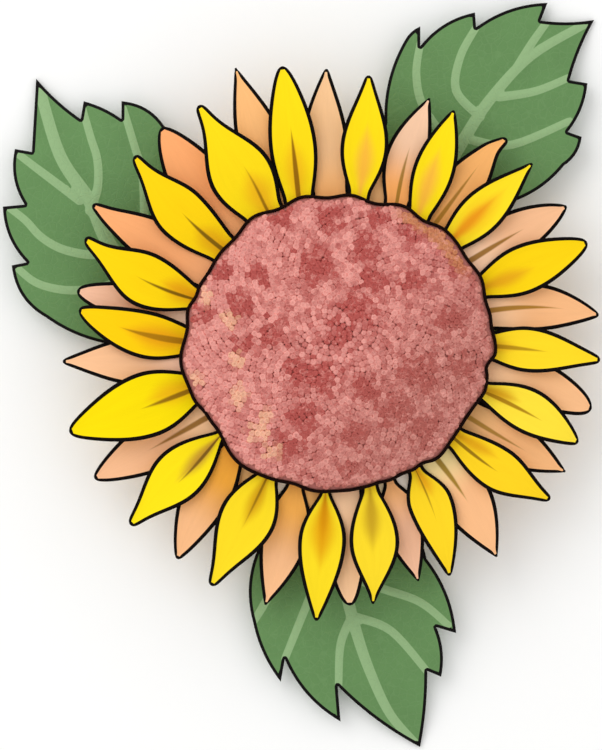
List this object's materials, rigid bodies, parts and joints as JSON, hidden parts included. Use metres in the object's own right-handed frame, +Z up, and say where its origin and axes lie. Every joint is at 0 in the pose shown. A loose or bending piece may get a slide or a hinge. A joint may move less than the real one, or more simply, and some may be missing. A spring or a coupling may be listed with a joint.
{
  "type": "sunflower seed head",
  "caption": "Sunflower head as picked: a broad mottled red-brown seed disc ringed by yellow and peach petals, with green bracts behind, toothed leaves and a short cut stem stub, lying face up.",
  "frame": {"origin": "bottom centre of the box round the whole head; z = 0 is the surface it lies on", "axes": "+Z up, the way the seed disc faces; +Y towards the two upper leaves; +X towards the right of the head as seen from above"},
  "size_m": [0.2992, 0.374, 0.0519],
  "materials": {
    "disc_florets": "dry packed florets, matt, mottled dusty red",
    "petal_yellow": "soft satin petal with fine veins",
    "petal_peach": "soft satin petal with fine veins",
    "leaf_green": "rough matt leaf with pale raised veins",
    "bract_green": "hairy matt green",
    "receptacle_skin": "matt ribbed green skin"
  },
  "bodies": {
    "root": {"receptacle": "receptacle_skin", "seed_disc": "disc_florets", "ray_petal_back_01": "petal_peach", "ray_petal_back_02": "petal_peach", "ray_petal_back_03": "petal_peach", "ray_petal_back_04": "petal_peach", "ray_petal_back_05": "petal_peach", "ray_petal_back_06": "petal_peach", "ray_petal_back_07": "petal_peach", "ray_petal_back_08": "petal_peach", "ray_petal_back_09": "petal_peach", "ray_petal_back_10": "petal_peach", "ray_petal_back_11": "petal_peach", "ray_petal_back_12": "petal_peach", "ray_petal_back_13": "petal_peach", "ray_petal_back_14": "petal_peach", "ray_petal_back_15": "petal_peach", "ray_petal_back_16": "petal_peach", "ray_petal_back_17": "petal_peach", "ray_petal_back_18": "petal_peach", "ray_petal_front_01": "petal_yellow", "ray_petal_front_02": "petal_yellow", "ray_petal_front_03": "petal_yellow", "ray_petal_front_04": "petal_yellow", "ray_petal_front_05": "petal_yellow", "ray_petal_front_06": "petal_yellow", "ray_petal_front_07": "petal_yellow", "ray_petal_front_08": "petal_yellow", "ray_petal_front_09": "petal_yellow", "ray_petal_front_10": "petal_yellow", "ray_petal_front_11": "petal_yellow", "ray_petal_front_12": "petal_yellow", "ray_petal_front_13": "petal_yellow", "ray_petal_front_14": "petal_yellow", "ray_petal_front_15": "petal_yellow", "ray_petal_front_16": "petal_yellow", "ray_petal_front_17": "petal_yellow", "ray_petal_front_18": "petal_yellow", "bract_01": "bract_green", "bract_02": "bract_green", "bract_03": "bract_green", "bract_04": "bract_green", "bract_05": "bract_green", "bract_06": "bract_green", "bract_07": "bract_green", "bract_08": "bract_green", "bract_09": "bract_green", "bract_10": "bract_green", "bract_11": "bract_green", "bract_12": "bract_green", "bract_13": "bract_green", "bract_14": "bract_green", "bract_15": "bract_green", "bract_16": "bract_green", "bract_17": "bract_green", "bract_18": "bract_green", "leaf_upper_left": "leaf_green", "leaf_upper_right": "leaf_green", "leaf_bottom": "leaf_green"}
  },
  "joints": []
}
